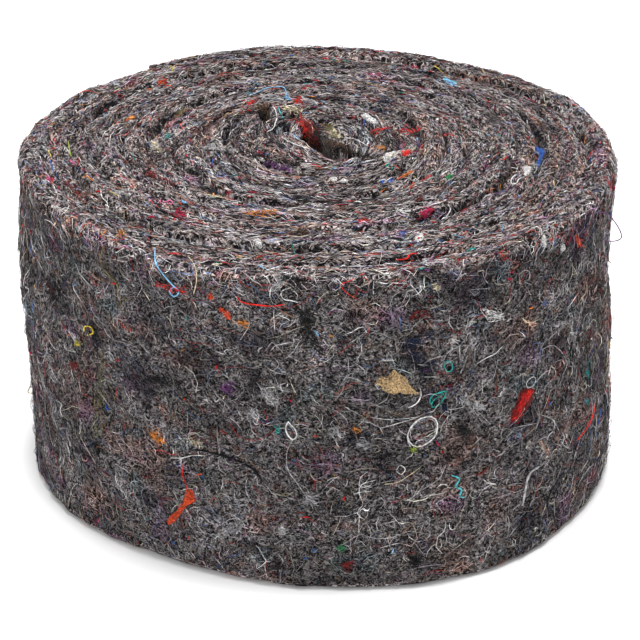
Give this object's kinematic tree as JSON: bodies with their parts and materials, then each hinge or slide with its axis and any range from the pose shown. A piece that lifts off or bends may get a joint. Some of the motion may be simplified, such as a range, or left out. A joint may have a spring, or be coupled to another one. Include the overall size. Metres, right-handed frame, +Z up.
{
  "type": "roll of felt",
  "caption": "Strip of thick recycled felt wound into a roll that stands on its cut edge; unrolled to wrap, pad or insulate.",
  "frame": {"origin": "middle of the foot, on the surface the roll stands on", "axes": "+Z up along the roll's axis, -Y to the front that the picture shows, +X to its right"},
  "size_m": [0.181, 0.18, 0.1015],
  "materials": {
    "felt": "matte, fibrous, mottled dark grey with stray coloured threads"
  },
  "bodies": {
    "root": {"felt_roll": "felt"}
  },
  "joints": []
}
